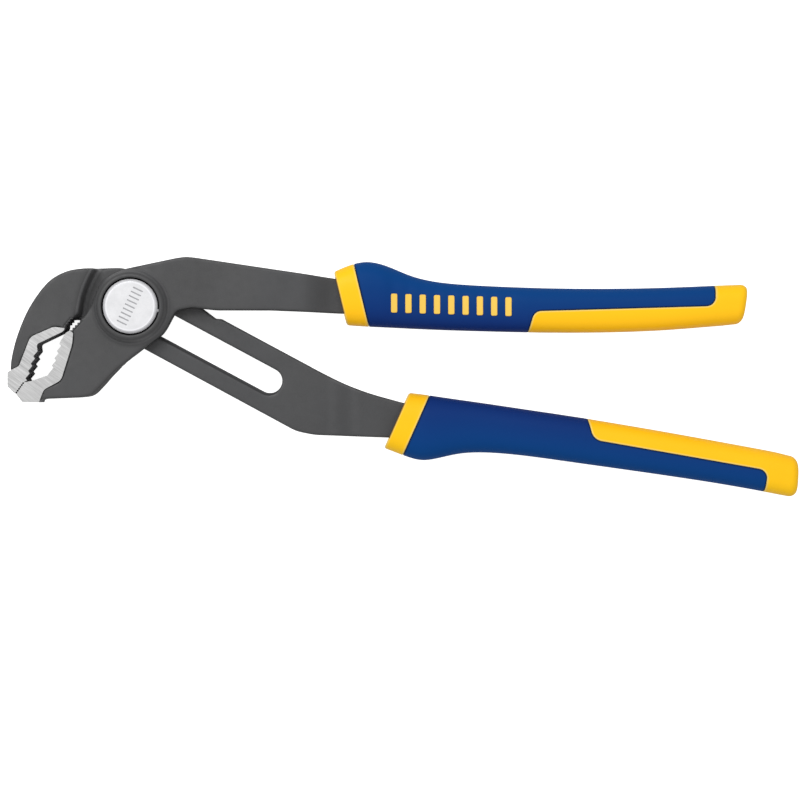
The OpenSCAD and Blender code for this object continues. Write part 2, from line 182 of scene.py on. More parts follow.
def around(n, centre):
    """Distance in plan from the centre in mm, and the place's x and z."""
    split = n.add("ShaderNodeSeparateXYZ")
    n.link(n.where, split.inputs[0])
    x, y, z = split.outputs
    flat = n.add("ShaderNodeCombineXYZ")
    n.link(n.maths("SUBTRACT", x, centre[0] * MM), flat.inputs["X"])
    n.link(n.maths("SUBTRACT", y, centre[1] * MM), flat.inputs["Y"])
    reach = n.add("ShaderNodeVectorMath", operation="LENGTH")
    n.link(flat.outputs[0], reach.inputs[0])
    return reach.outputs["Value"], x, z


def ring_of_painted_light(n, centre, radius, width, right, low):
    """1 on a ring around the centre in mm, left of right and above low, and 0 elsewhere."""
    reach, x, z = around(n, centre)
    off = n.maths("ABSOLUTE", n.maths("SUBTRACT", reach, radius * MM), 0.0)
    ring = n.ramp(off, 0.4 * width * MM, width * MM, 1.0, 0.0)
    ring = n.maths("MULTIPLY", ring, n.ramp(x, (right - 2) * MM, right * MM, 1.0, 0.0))
    return n.maths("MULTIPLY", ring, n.ramp(z, low * MM, (low + 0.5) * MM))


def forged_black(name, light=1.0, side=0.5, ring=None, ring_painted_light=1.0):
    """Blasted and blackened forging: satin, faintly mottled, darker on its steep sides as painted shade,
    and lighter on a ring as painted light."""
    n = Nodes(name)
    base = scaled((0.0435, 0.0435, 0.0447, 1), light)
    mottle = n.ramp(n.noise(60, 4), 0.35, 0.65)
    cast = n.mix(mottle, scaled(base, 0.90), scaled(base, 1.10))
    grain = n.ramp(n.noise(2600, 2), 0.3, 0.7)
    speckled = n.mix(n.maths("MULTIPLY", grain, 0.35), cast, scaled(base, 1.35))
    blue = n.ramp(n.noise(38, 2), 0.45, 0.7)
    tone = n.mix(n.maths("MULTIPLY", blue, 0.25), speckled, scaled((0.040, 0.042, 0.048, 1), light))
    facing = n.add("ShaderNodeSeparateXYZ")
    n.link(n.add("ShaderNodeNewGeometry").outputs["Normal"], facing.inputs[0])
    # painted shade: steep faces are darkened by their normal, down to the factor side
    side_shade_and_ring_light = n.ramp(n.maths("ABSOLUTE", facing.outputs["Z"], 0.0), 0.1, 0.5, side, 1.0)
    # painted light: on the ring the colour is made lighter by the ring's factor
    if ring is not None:
        side_shade_and_ring_light = n.maths("MULTIPLY", side_shade_and_ring_light, n.ramp(ring_of_painted_light(n, *ring), 0.0, 1.0, 1.0, ring_painted_light))
    shade = n.add("ShaderNodeVectorMath", operation="SCALE")
    n.link(tone, shade.inputs[0])
    n.link(side_shade_and_ring_light, shade.inputs["Scale"])
    n.put("Base Color", shade.outputs["Vector"])
    n.put("Metallic", 0.25)
    n.put("Specular IOR Level", 0.5)
    n.put("Roughness", n.ramp(n.noise(420, 4), 0.3, 0.7, 0.44, 0.58))
    blasted = n.bump(n.noise(2300, 3), 0.03, 0.45, n.bevel(0.4))
    n.put("Normal", n.bump(n.noise(140, 3), 0.05, 0.2, blasted))
    return n.mat


def ground_steel():
    """Bright jaw faces with the fine diagonal lines of a grinding wheel."""
    n = Nodes("ground_steel")
    slanted = (0, 0, math.radians(35.4))
    lines = n.noise(1.0, 3, n.stretched((150, 3600, 150), slanted), 0.6)
    coarse = n.noise(1.0, 2, n.stretched((90, 1700, 90), slanted))
    both = n.maths("ADD", n.maths("MULTIPLY", lines, 0.6), n.maths("MULTIPLY", coarse, 0.4))
    streaks = n.mix(n.ramp(both, 0.34, 0.66), linear(142, 142, 142), linear(200, 200, 200))
    cloud = n.ramp(n.noise(105, 3), 0.35, 0.7, 0.0, 0.6)
    n.put("Base Color", n.mix(cloud, streaks, linear(168, 168, 168)))
    n.put("Metallic", 0.8)
    n.put("Roughness", n.ramp(lines, 0.3, 0.7, 0.4, 0.55))
    n.put("Normal", n.bump(both, 0.006, 0.5, n.bevel(0.12)))
    return n.mat


def turned_steel(name, colour, rough, rings=900.0):
    """Machined steel with concentric tool marks around the pivot axis."""
    n = Nodes(name)
    wave = n.add("ShaderNodeTexWave", wave_type="RINGS", rings_direction="Z")
    n.link(n.where, wave.inputs["Vector"])
    wave.inputs["Scale"].default_value = rings
    wave.inputs["Distortion"].default_value = 1.5
    wave.inputs["Detail"].default_value = 2.0
    marks = wave.outputs["Fac"]
    stain = n.ramp(n.noise(260, 4), 0.3, 0.7)
    n.put("Base Color", n.mix(stain, scaled(colour, 0.88), scaled(colour, 1.06)))
    n.put("Metallic", 0.9)
    n.put("Roughness", n.ramp(n.noise(700, 3), 0.3, 0.7, rough - 0.05, rough + 0.08))
    n.put("Normal", n.bump(marks, 0.006, 0.35, n.bevel(0.12)))
    return n.mat


def satin_button():
    """Pale satin-plated cap with a soft random grain."""
    n = Nodes("satin_button")
    cloud = n.ramp(n.noise(330, 4), 0.35, 0.65)
    tone = n.mix(cloud, linear(204, 204, 206), linear(213, 213, 215))
    grain = n.ramp(n.noise(3600, 2), 0.35, 0.65)
    tone = n.mix(n.maths("MULTIPLY", grain, 0.25), tone, linear(190, 190, 193))
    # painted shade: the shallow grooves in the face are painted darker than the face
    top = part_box("push_button")[1].z
    reach, _, z = around(n, (0, 0))
    deep = n.ramp(z, top - 0.12 * MM, top - 0.03 * MM, 1.0, 0.0)
    # and the bevelled rim is painted a little paler than the face, a painted highlight
    inside = n.ramp(reach, 7.2 * MM, 7.5 * MM, 1.0, 0.0)
    tone = n.mix(inside, linear(219, 219, 222), tone)
    n.put("Base Color", n.mix(n.maths("MULTIPLY", deep, inside), tone, linear(156, 156, 159)))
    n.put("Metallic", 0.3)
    n.put("Roughness", n.ramp(n.noise(900, 3), 0.3, 0.7, 0.3, 0.42))
    n.put("Normal", n.bump(n.noise(2600, 3), 0.01, 0.35, n.bevel(0.12)))
    return n.mat


def moulded(name, inner, outer, rim, rough, shine):
    """Moulded grip material: tone runs from the inner to the outer side as painted light, with a fine
    spark-eroded grain, a rim tone beside the seams as painted highlight and shade, and a painted shadow at
    the collar's mouth."""
    n = Nodes(name)
    # painted light: the outer side of the grip is painted lighter than the inner side
    tone = n.mix(n.attribute("outward_painted_light"), inner, outer)
    cloud = n.ramp(n.noise(46, 3), 0.35, 0.65)
    tone = n.mix(n.maths("MULTIPLY", cloud, 0.12), tone, scaled(outer, 0.86))
    grain = n.ramp(n.noise(3100, 2), 0.4, 0.7)
    tone = n.mix(n.maths("MULTIPLY", grain, 0.06), tone, scaled(outer, 1.25))
    # beside the seams the rim colour is mixed in: a painted highlight on the yellow, painted shade on the
    # blue and on the bars' sides
    tone = n.mix(n.maths("MULTIPLY", n.attribute("rim"), 0.85), tone, rim)
    # painted shadow: the collar's mouth round the tang is painted dark brown
    n.put("Base Color", n.mix(n.attribute("lip"), tone, linear(92, 58, 16)))
    n.put("Roughness", n.ramp(n.noise(520, 4), 0.3, 0.7, rough - 0.05, rough + 0.07))
    n.put("Specular IOR Level", shine)
    fine = n.bump(n.cells(3400), 0.016, 0.4)
    n.put("Normal", n.bump(n.noise(260, 3), 0.03, 0.12, fine))
    return n.mat


# painted light: the foot of the boss and the curved step of the rear jaw are painted lighter, lifting their
# shade
BLACK_FRONT = forged_black("forged_black_front", ring=((0, 0), 11.35, 0.85, 40, 12.5), ring_painted_light=1.95)
BLACK_REAR = forged_black("forged_black_rear", ring=(STEP_CENTRE, 33.1, 1.5, -6, 7), ring_painted_light=3.6)
# painted light: a lighter copy of the black forging for the jaw pieces' side walls, which lie in shade
FLANK = forged_black("flank_painted_light", 3.4, side=1.0)
GROUND = ground_steel()
PIN = turned_steel("pin_steel_dark", (0.10, 0.10, 0.105, 1), 0.42)
WASHER = turned_steel("washer_steel", (0.45, 0.45, 0.46, 1), 0.34)
RING = turned_steel("ring_spring_steel", (0.07, 0.07, 0.075, 1), 0.4)
KEY = turned_steel("key_steel", (0.22, 0.22, 0.23, 1), 0.36, 300.0)
STEM = turned_steel("stem_steel", (0.45, 0.45, 0.46, 1), 0.32)
SPRING = turned_steel("spring_steel_wire", (0.35, 0.35, 0.36, 1), 0.28, 200.0)
BUTTON = satin_button()
# the third colour of each is its rim colour: pale on the yellow as a painted highlight, dark on the blue
# and the raised bars as painted shade
YELLOW = moulded("grip_yellow_moulded", linear(246, 184, 9), linear(243, 190, 7),
                 linear(222, 198, 118), 0.42, 0.18)
RAISED = moulded("grip_yellow_raised", linear(226, 184, 78), linear(232, 192, 84),
                 linear(214, 172, 84), 0.46, 0.2)
BLUE = moulded("grip_blue_moulded", linear(15, 39, 102), linear(3, 61, 121),
               linear(12, 24, 50), 0.5, 0.06)


# ---------- lines in plan ----------

def corner_arc(a, b, c, r, steps=14):
    """Points of the corner at b between a and c, rounded to the radius r."""
    a, b, c = (np.array(p, float) for p in (a, b, c))
    u, v = (a - b) / np.linalg.norm(a - b), (c - b) / np.linalg.norm(c - b)
    half = math.acos(float(np.clip(u @ v, -1, 1))) / 2
    mid = b + (u + v) / np.linalg.norm(u + v) * r / math.sin(half)
    start, end = b + u * r / math.tan(half) - mid, b + v * r / math.tan(half) - mid
    full = math.acos(float(np.clip(start @ end / r / r, -1, 1)))
    return [mid + (math.sin(full * (1 - t)) * start + math.sin(full * t) * end) / math.sin(full)
            for t in np.linspace(0, 1, steps)]


def seam_line(points, closed=False):
    """A line through points (x, y) or rounded ones (x, y, r)."""
    out = []
    for i, p in enumerate(points):
        if len(p) == 2:
            out.append(np.array(p, float))
        else:
            after = points[(i + 1) % len(points)] if closed else points[i + 1]
            out += corner_arc(points[i - 1][:2], p[:2], after[:2], p[2])
    return np.array(out)


# ---------- metal pieces ----------

VOXEL = 0.22  # mm, grain of the softened forgings
MOST_FACES = 180_000  # triangles in one softened forging
PACE = 0.6  # how far a point moves towards its neighbours' mean in one round of smoothing
SHARP = 35  # degrees, edges sharper than this get a small bevel


def linked(name, data):
    """A new object in the scene."""
    obj = bpy.data.objects.new(name, data)
    bpy.context.scene.collection.objects.link(obj)
    return obj


def finish_mesh(obj, body, materials):
    for m in materials:
        obj.data.materials.append(m)
    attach(obj, body)
    return obj


def new_piece(name, bm, body, materials):
    mesh = bpy.data.meshes.new(name)
    bm.to_mesh(mesh)
    bm.free()
    return finish_mesh(linked(name, mesh), body, materials)


def set_materials(node, *materials):
    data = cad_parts[node].data
    data.materials.clear()
    for m in materials:
        data.materials.append(m)


def soften(node, width):
    """Small bevel of the width in mm on a CAD node's sharp edges, by modifiers only."""
    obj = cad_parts[node]
    weld = obj.modifiers.new("weld", "WELD")
    weld.merge_threshold = MERGE
    flat = obj.modifiers.new("flat", "DECIMATE")
    flat.decimate_type = "DISSOLVE"
    flat.angle_limit = math.radians(0.5)
    bevel = obj.modifiers.new("bevel", "BEVEL")
    bevel.width = width * MM
    bevel.segments = 2
    bevel.limit_method = "ANGLE"
    bevel.angle_limit = math.radians(SHARP)
    bevel.use_clamp_overlap = True
    obj.data.shade_smooth()
    normals = obj.modifiers.new("normals", "WEIGHTED_NORMAL")
    normals.keep_sharp = True


def welded(node):
    """A closed copy of a CAD node's mesh, as a working object."""
    bm = bmesh.new()
    bm.from_mesh(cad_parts[node].data)
    bmesh.ops.remove_doubles(bm, verts=bm.verts, dist=MERGE)
    mesh = bpy.data.meshes.new("work")
    bm.to_mesh(mesh)
    bm.free()
    return linked("work", mesh)


def prism(outline):
    """A block over a plan outline in mm, as a working object that reaches past the tool on both sides."""
    low, high = -0.02, 0.05
    n = len(outline)
    points = [(x * MM, y * MM, z) for z in (low, high) for x, y in outline]
    faces = [tuple(range(n))[::-1], tuple(range(n, 2 * n))]
    faces += [(k, (k + 1) % n, n + (k + 1) % n, n + k) for k in range(n)]
    mesh = bpy.data.meshes.new("work")
    mesh.from_pydata(points, [], faces)
    bm = bmesh.new()
    bm.from_mesh(mesh)
    bmesh.ops.recalc_face_normals(bm, faces=bm.faces)
    bm.to_mesh(mesh)
    bm.free()
    return linked("work", mesh)


def evaluated(obj):
    """The object's mesh with its modifiers applied, as a new mesh."""
    graph = bpy.context.evaluated_depsgraph_get()
    return bpy.data.meshes.new_from_object(obj.evaluated_get(graph))


def cut(obj, block, operation):
    """The mesh that a boolean of the object and the block gives. The object stays as it is."""
    tool = obj.modifiers.new("cut", "BOOLEAN")
    tool.operation = operation
    tool.object = block
    tool.solver = "EXACT"
    mesh = evaluated(obj)
    obj.modifiers.remove(tool)
    return mesh


def relax(mesh, passes):
    """Rounds edges by moving points towards the mean of their neighbours, weighted by place.
    Each pass is a number of rounds and a function that gives every point's weight."""
    count = len(mesh.vertices)
    co = np.empty(count * 3, np.float64)
    mesh.vertices.foreach_get("co", co)
    co = co.reshape(-1, 3)
    ends = np.empty(len(mesh.edges) * 2, np.int64)
    mesh.edges.foreach_get("vertices", ends)
    ends = ends.reshape(-1, 2)
    for rounds, share_of in passes:
        share = share_of(co / MM)
        a, b = ends[(share[ends] > 0).any(axis=1)].T
        degree = np.maximum(1, np.bincount(a, minlength=count) + np.bincount(b, minlength=count))
        for _ in range(rounds):
            mean = np.stack([np.bincount(a, co[b, k], count) + np.bincount(b, co[a, k], count)
                             for k in range(3)], -1) / degree[:, None]
            co += share[:, None] * (mean - co)
    mesh.vertices.foreach_set("co", co.astype(np.float32).ravel())
    mesh.update()


def forging(node, names, body, black, pad_outline, passes):
    """A forging in two pieces: the softened body, and the crisp ground jaw face with its teeth."""
    whole, block = welded(node), prism(seam_line(pad_outline, closed=True))
    jaw, rest = cut(whole, block, "INTERSECT"), cut(whole, block, "DIFFERENCE")
    whole.data = rest
    voxels = whole.modifiers.new("voxels", "REMESH")
    voxels.mode = "VOXEL"
    voxels.voxel_size = VOXEL * MM
    rounded = evaluated(whole)
    relax(rounded, passes)
    whole.modifiers.remove(voxels)
    whole.data = rounded
    # the voxel mesh has quads, so it makes twice as many triangles
    thin = whole.modifiers.new("thin", "DECIMATE")
    thin.ratio = min(1.0, MOST_FACES / (2 * len(rounded.polygons)))
    final = evaluated(whole)
    for used in (whole, block):
        bpy.data.objects.remove(used)
    final.name = names[0]
    final.shade_smooth()
    obj = finish_mesh(linked(names[0], final), body, [black])
    normals = obj.modifiers.new("normals", "WEIGHTED_NORMAL")
    normals.weight = 80
    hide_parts(node)

    bm = bmesh.new()
    bm.from_mesh(jaw)
    bmesh.ops.remove_doubles(bm, verts=bm.verts, dist=MERGE)
    bmesh.ops.dissolve_limit(bm, angle_limit=math.radians(0.3), verts=bm.verts, edges=bm.edges)
    bm.normal_update()
    # the ground pads of both halves lie at the rear forging's lowest and highest level
    low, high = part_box("rear_forging")
    for face in bm.faces:
        z = face.calc_center_median().z
        # side faces take the flank copy, painted light on walls in shade
        if abs(face.normal.z) < 0.5:
            face.material_index = 2
        else:
            face.material_index = int(min(abs(z - low.z), abs(z - high.z)) < 5e-5)
        face.smooth = True
    for edge in bm.edges:
        edge.smooth = edge.calc_face_angle(0.0) < math.radians(25)
    obj = new_piece(names[1], bm, body, [black, GROUND, FLANK])
    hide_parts(node)


def fade(value, start, end):
    """1 below start, 0 beyond end, and a soft change between them."""
    t = np.clip((value - start) / (end - start), 0, 1)
    return 1 - t * t * (3 - 2 * t)


def beside_swing(p):
    """True in the inner corner at the rear block's end wall, which the opened rear arm comes close to."""
    past = 0.923 * (p[:, 0] - 2.2) + 0.384 * (p[:, 1] + 33)
    return (past > -0.3) & (past < 1.8) & (p[:, 2] > 6.0) & (p[:, 2] < 8.4)


def edges_front(p):
    """Rounds all edges of the front half, less beside the throat's fine teeth and the button's well."""
    throat = np.hypot(p[:, 0] + 17.6, p[:, 1] + 5.9) < 3.2
    well = np.hypot(p[:, 0], p[:, 1]) < 9.6
    return np.where(beside_swing(p), 0.0, np.where(throat, 0.02, np.where(well, 0.3, PACE)))


def foot_of_boss(p):
    """A wide fillet where the boss rises from the plate."""
    r = np.hypot(p[:, 0], p[:, 1])
    return PACE * fade(r, 12.6, 14.5) * (1 - fade(r, 10.2, 11.2)) * (p[:, 2] > 12.5)


def heel_of_jaw(p):
    """Runs the jaw's thick rear block out smoothly where it ends at the plate's lower edge."""
    off = np.hypot(p[:, 0] + 3.6, p[:, 1] + 19.4)
    return PACE * fade(off, 3.2, 7.5) * fade(p[:, 2], 8.0, 10.5) * ~beside_swing(p)


def edges_rear(p):
    """Rounds all edges of the rear half, less in the toothed channel of the slot and at the throat."""
    slot_tilt, slot_run = math.radians(-28.2), 49.4
    along = p[:, 0] * math.cos(slot_tilt) + p[:, 1] * math.sin(slot_tilt)
    across = -p[:, 0] * math.sin(slot_tilt) + p[:, 1] * math.cos(slot_tilt)
    from_slot = np.hypot(along - np.clip(along, 0, slot_run), across)
    throat = np.hypot(p[:, 0] + 19.8, p[:, 1] + 5.2) < 2.6
    return np.where(throat, 0.02, np.where((from_slot < 6.6) & (p[:, 2] < 7.2), 0.08, PACE))


def step_of_jaw(p):
    """Wide fillets along the curved wall where the full jaw block ends."""
    off = np.abs(np.hypot(p[:, 0] - STEP_CENTRE[0], p[:, 1] - STEP_CENTRE[1]) - 33.3)
    return PACE * fade(off, 1.6, 3.2) * fade(-p[:, 1], 1.5, 4.0) * (p[:, 0] < 0) * (p[:, 2] > 6.5)


# plan outlines of the crisp pieces: the ground pads, each with the serrated throat beside it
UPPER_FACE = [(-40, -20.6), (-38.7, -20.5), (-35.3, -18.8, 1.6), (-31.7, -9.6, 3), (-24.4, -6.4, 3),
              (-21.3, -6.74), (-21.25, -6.1), (-19.1, -3.45), (-18.3, -3.5), (-19.9, -7.4), (-21.4, -8.7),
              (-27, -14), (-33, -28), (-40, -28)]
LOWER_FACE = [(-19.6, -7.1), (-16.3, -3.7), (-15.4, -4.6), (-18.35, -7.85), (-18.2, -8.3, 0.4),
              (-18.5, -12, 8), (-22, -23.3, 3.2), (-27.4, -26.2, 2.5), (-28.9, -30), (-29, -32), (-38, -32),
              (-38, -26), (-33, -21), (-21, -7.6)]

forging("front_forging", ("front_plate_and_handle", "front_jaw_teeth"), "front_half", BLACK_FRONT,
        LOWER_FACE, ((16, edges_front), (14, foot_of_boss), (120, heel_of_jaw)))
forging("rear_forging", ("rear_jaw_and_slotted_arm", "rear_jaw_teeth"), "rear_half", BLACK_REAR,
        UPPER_FACE, ((16, edges_rear), (50, step_of_jaw)))

# small machined parts: node, material, and width of the bevel in mm
for node, material, width in (("pivot_pin", PIN, 0.15), ("thrust_washer", WASHER, 0.08),
                              ("retaining_ring", RING, 0.08), ("lock_key", KEY, 0.08),
                              ("button_stem", STEM, 0.1), ("return_spring", SPRING, 0),
                              ("push_button", BUTTON, 0.1)):
    set_materials(node, material)
    if width:
        soften(node, width)
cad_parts["return_spring"].data.shade_smooth()


# ---------- grips ----------

def even_angles():
    """Arc length along a section with equal axes, as a table to place points evenly."""
    a = np.linspace(0, 2 * math.pi, 4000)
    x = np.sign(np.cos(a)) * np.abs(np.cos(a)) ** SECTION
    y = np.sign(np.sin(a)) * np.abs(np.sin(a)) ** SECTION
    s = np.concatenate([[0], np.cumsum(np.hypot(np.diff(x), np.diff(y)))])
    return a, s / s[-1]


ANGLES, ARCS = even_angles()


def smoothed(x, y, sigma):
    """y over even x, evened out by a bell curve, with straight run-outs at both ends."""
    step = x[1] - x[0]
    n = int(4 * sigma / step)
    kernel = np.exp(-0.5 * (np.arange(-n, n + 1) * step / sigma) ** 2)
    kernel /= kernel.sum()
    before = y[0] + (y[0] - y[n]) / n * np.arange(n, 0, -1)
    after = y[-1] + (y[-1] - y[-1 - n]) / n * np.arange(1, n + 1)
    return np.convolve(np.concatenate([before, y, after]), kernel, "valid")


class Grip:
    """One handle's grip, in its own frame: x along the handle, y across it in plan, z up.

    origin and tilt in degrees place that frame. outer is the sign of y on the hand's side. mouth and
    seam are the stations of the collar's two edges, lean is its tilt in degrees, slant is how much the
    far end leans, and end_r is the far end's rounding."""

    def __init__(self, side, body, forging_node, origin, tilt, outer, mouth, seam, lean, slant, end_r):
        self.side, self.body = side, body
        self.origin, self.tilt = np.array(origin, float), math.radians(tilt)
        self.outer, self.mouth, self.seam, self.lean = outer, mouth, seam, lean
        self.slant, self.end_r = slant, end_r
        names = [f"{side}_grip_{part}" for part in ("sleeve", "cover", "inlay")]
        skin = self.tree(names)
        self.steel = self.tree([forging_node])
        self.measure(skin, names)

    def to_local(self, p):
        """Row frame in metres to the grip's frame in mm."""
        p = np.asarray(p, float) / MM
        c, s = math.cos(-self.tilt), math.sin(-self.tilt)
        d = p[..., :2] - self.origin
        return np.stack([c * d[..., 0] - s * d[..., 1], s * d[..., 0] + c * d[..., 1], p[..., 2]], -1)

    def to_frame(self, p):
        p = np.asarray(p, float)
        c, s = math.cos(self.tilt), math.sin(self.tilt)
        return np.stack([self.origin[0] + c * p[..., 0] - s * p[..., 1],
                         self.origin[1] + s * p[..., 0] + c * p[..., 1], p[..., 2]], -1) * MM

    def tree(self, names):
        points, faces = [], []
        for name in names:
            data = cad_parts[name].data
            start = len(points)
            co = np.array([v.co for v in data.vertices])
            points += [Vector(p) for p in self.to_local(co)]
            faces += [[start + i for i in f.vertices] for f in data.polygons]
        return BVHTree.FromPolygons(points, faces)

    def measure(self, skin, names):
        """Upper edge, lower edge and half thickness of the CAD skin along x."""
        ends = [self.to_local(np.array([v.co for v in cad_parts[n].data.vertices])) for n in names]
        # the slanted end's farthest corner lies this far beyond its middle
        corner = 4.3 * abs(self.slant)
        self.x_end = max(float(e[:, 0].max()) for e in ends) - corner
        x = np.arange(self.mouth - 6, self.x_end - 4, 0.25)
        lean = math.tan(math.radians(self.lean))
        beside = 0.013  # keeps the rays off the mesh's own edges

        def on_skin(hit):
            """True if the hit lies behind the mouth's leaning face."""
            return hit is not None and hit[0] - lean * hit[1] > self.mouth + 0.15

        def cast(start, direction):
            out = []
            for q in x:
                hit = skin.ray_cast(Vector((q + beside, *start)), Vector(direction))[0]
                out.append(hit[1] if on_skin(hit) else np.nan)
            y = np.array(out)
            kept = np.where(np.isfinite(y))[0]
            y = np.interp(np.arange(len(y)), kept, y[kept])
            # the first stations lie behind the rounding of the mouth, and before them the skin
            # runs on straight
            first = int(np.searchsorted(x, self.seam + 3))
            while first > kept[0] and abs(y[first - 1] - y[first]) < 0.25:
                first -= 1
            first += 4
            slope = (y[first + 10] - y[first]) / 10
            y[:first] = y[first] + slope * (np.arange(first) - first)
            wide = np.stack([np.roll(y, k) for k in (-2, -1, 0, 1, 2)])
            middle = np.median(wide, axis=0)
            middle[:2], middle[-2:] = y[:2], y[-2:]
            return middle

        self.x = x
        top = cast((FAR, LAP), (0, -1, 0))
        bottom = cast((-FAR, LAP), (0, 1, 0))
        self.top, self.bottom = smoothed(x, top, 1.6), smoothed(x, bottom, 1.6)
        half = []
        for q, t, b in zip(x, self.top, self.bottom):
            hit = skin.ray_cast(Vector((q + beside, (t + b) / 2, FAR)), Vector((0, 0, -1)))[0]
            half.append(hit[2] - LAP if on_skin(hit) else np.nan)
        half = np.array(half)
        kept = np.where(np.isfinite(half) & (half > 5) & (x > self.seam - 3))[0]
        self.half = smoothed(x, np.interp(np.arange(len(half)), kept, half[kept]), 1.6)

    def shape(self, x, depth):
        """Centre, half width and half thickness at x, rounded off towards the far end."""
        past = np.clip((x - (self.x_end - self.end_r)) / self.end_r, 0, 1)
        inset = self.end_r * (1 - np.sqrt(np.clip(1 - past * past, 0, 1)))
        # beyond the last measured station the sides run on straight
        def read(values):
            slope = (values[-1] - values[-21]) / (self.x[-1] - self.x[-21])
            return np.where(x > self.x[-1], values[-1] + slope * (x - self.x[-1]),
                            np.interp(x, self.x, values))
        top, bottom, half = read(self.top), read(self.bottom), read(self.half)
        return ((top + bottom) / 2, (top - bottom) / 2 - inset - depth, half - inset - depth)

    def shear(self, s):
        """How much a section leans in plan at the station s."""
        k = math.tan(math.radians(self.lean))
        rest = np.clip(1 - (s - self.seam - 2) / 40, 0, 1)
        start = k * rest * rest * (3 - 2 * rest)
        reach = np.clip(1 - (self.x_end - s) / 8, 0, 1)
        return start + self.slant * reach

    def at(self, s, phi, depth=0.0):
        """Skin points in the grip's frame at the stations s and section angles phi."""
        s, phi = np.broadcast_arrays(np.asarray(s, float), np.asarray(phi, float))
        c = np.sign(np.cos(phi)) * np.abs(np.cos(phi)) ** SECTION
        n = np.sign(np.sin(phi)) * np.abs(np.sin(phi)) ** SECTION
        k, x = self.shear(s), s.copy()
        late = s > self.x_end - 9
        for _ in range(6):
            mid, wide, thick = self.shape(np.where(late, s, x), depth)
            y = mid + wide * c
            x = s + k * np.where(late, y - mid, y)
        return np.stack([x, y, LAP + thick * n], -1)

    def angle_of(self, s, y):
        """Section angle on the front at which the skin has the given y, from 0 at the top edge."""
        mid, wide, _ = self.shape(s, 0.0)
        c = np.clip((y - mid) / wide, -1, 1)
        return np.arccos(np.sign(c) * np.abs(c) ** (1 / SECTION))


ROLL = 0.3  # mm, rounding of the moulded rims beside the seams
GAP = 0.03  # mm, air on either side of a seam
SHELL = 1.2  # mm, thickness of the moulded covers
SKIN_ROUND = 49.0  # mm, about the length round a grip's section
NEAR_EDGE = (0.0, 0.05, 0.12, 0.2, 0.3, 0.45)  # mm, places of the points beside a rim


def even(first, last, count):
    """Section angles from first to last that lie evenly along the skin, closer beside the last."""
    a, b = np.interp([first, last], ANGLES, ARCS)
    share = np.array(NEAR_EDGE) / SKIN_ROUND
    share = share * min(1.0, abs(b - a) / (3 * share[-1]) if b != a else 0.0)
    plain = np.linspace(a, b - math.copysign(share[-1] * 1.5, b - a), count - len(share))
    places = np.concatenate([plain, b - math.copysign(1.0, b - a) * share[::-1]])
    return np.interp(places, ARCS, ANGLES)


def span(seam_angle, about_top, count):
    """Section angles of one row, symmetric about the upper edge or about the lower edge."""
    if about_top:
        half = even(0.0, seam_angle, count)
        return np.concatenate([-half[::-1], half[1:]])
    half = even(math.pi, seam_angle, count)
    return np.concatenate([half[::-1], 2 * math.pi - half[1:]])


def roll(distance):
    """How deep a rim of the radius ROLL lies below the skin at a distance from its edge."""
    u = np.clip(distance, 0, ROLL)
    return ROLL - np.sqrt(ROLL * ROLL - (ROLL - u) ** 2)


def rim_painted_light_shade_share(distance):
    """How much of the rim tone, painted highlight and shade, shows at a distance in mm from a seam."""
    return np.clip(1.4 - distance / 0.42, 0, 1)


def to_line(points, line):
    """Plan distance of the points from a dense line."""
    best = np.full(len(points), 1e9)
    for a, b in zip(line, line[1:]):
        d = b - a
        t = np.clip(((points - a) @ d) / (d @ d), 0, 1)
        best = np.minimum(best, np.linalg.norm(points - a - t[:, None] * d, axis=1))
    return best


def stations(first, last, line):
    """Places of the rows: even ones, ones close to both ends, and ones that follow the seam line."""
    near = np.array(NEAR_EDGE)
    lengths = np.concatenate([[0], np.cumsum(np.linalg.norm(np.diff(line, axis=0), axis=1))])
    along = np.interp(np.arange(0, lengths[-1], 0.22), lengths, line[:, 0])
    s = np.sort(np.concatenate([np.arange(first, last, 0.7), first + near, last - near,
                                along[(along > first) & (along < last)]]))
    return s[np.concatenate([[True], np.diff(s) > 0.006])]


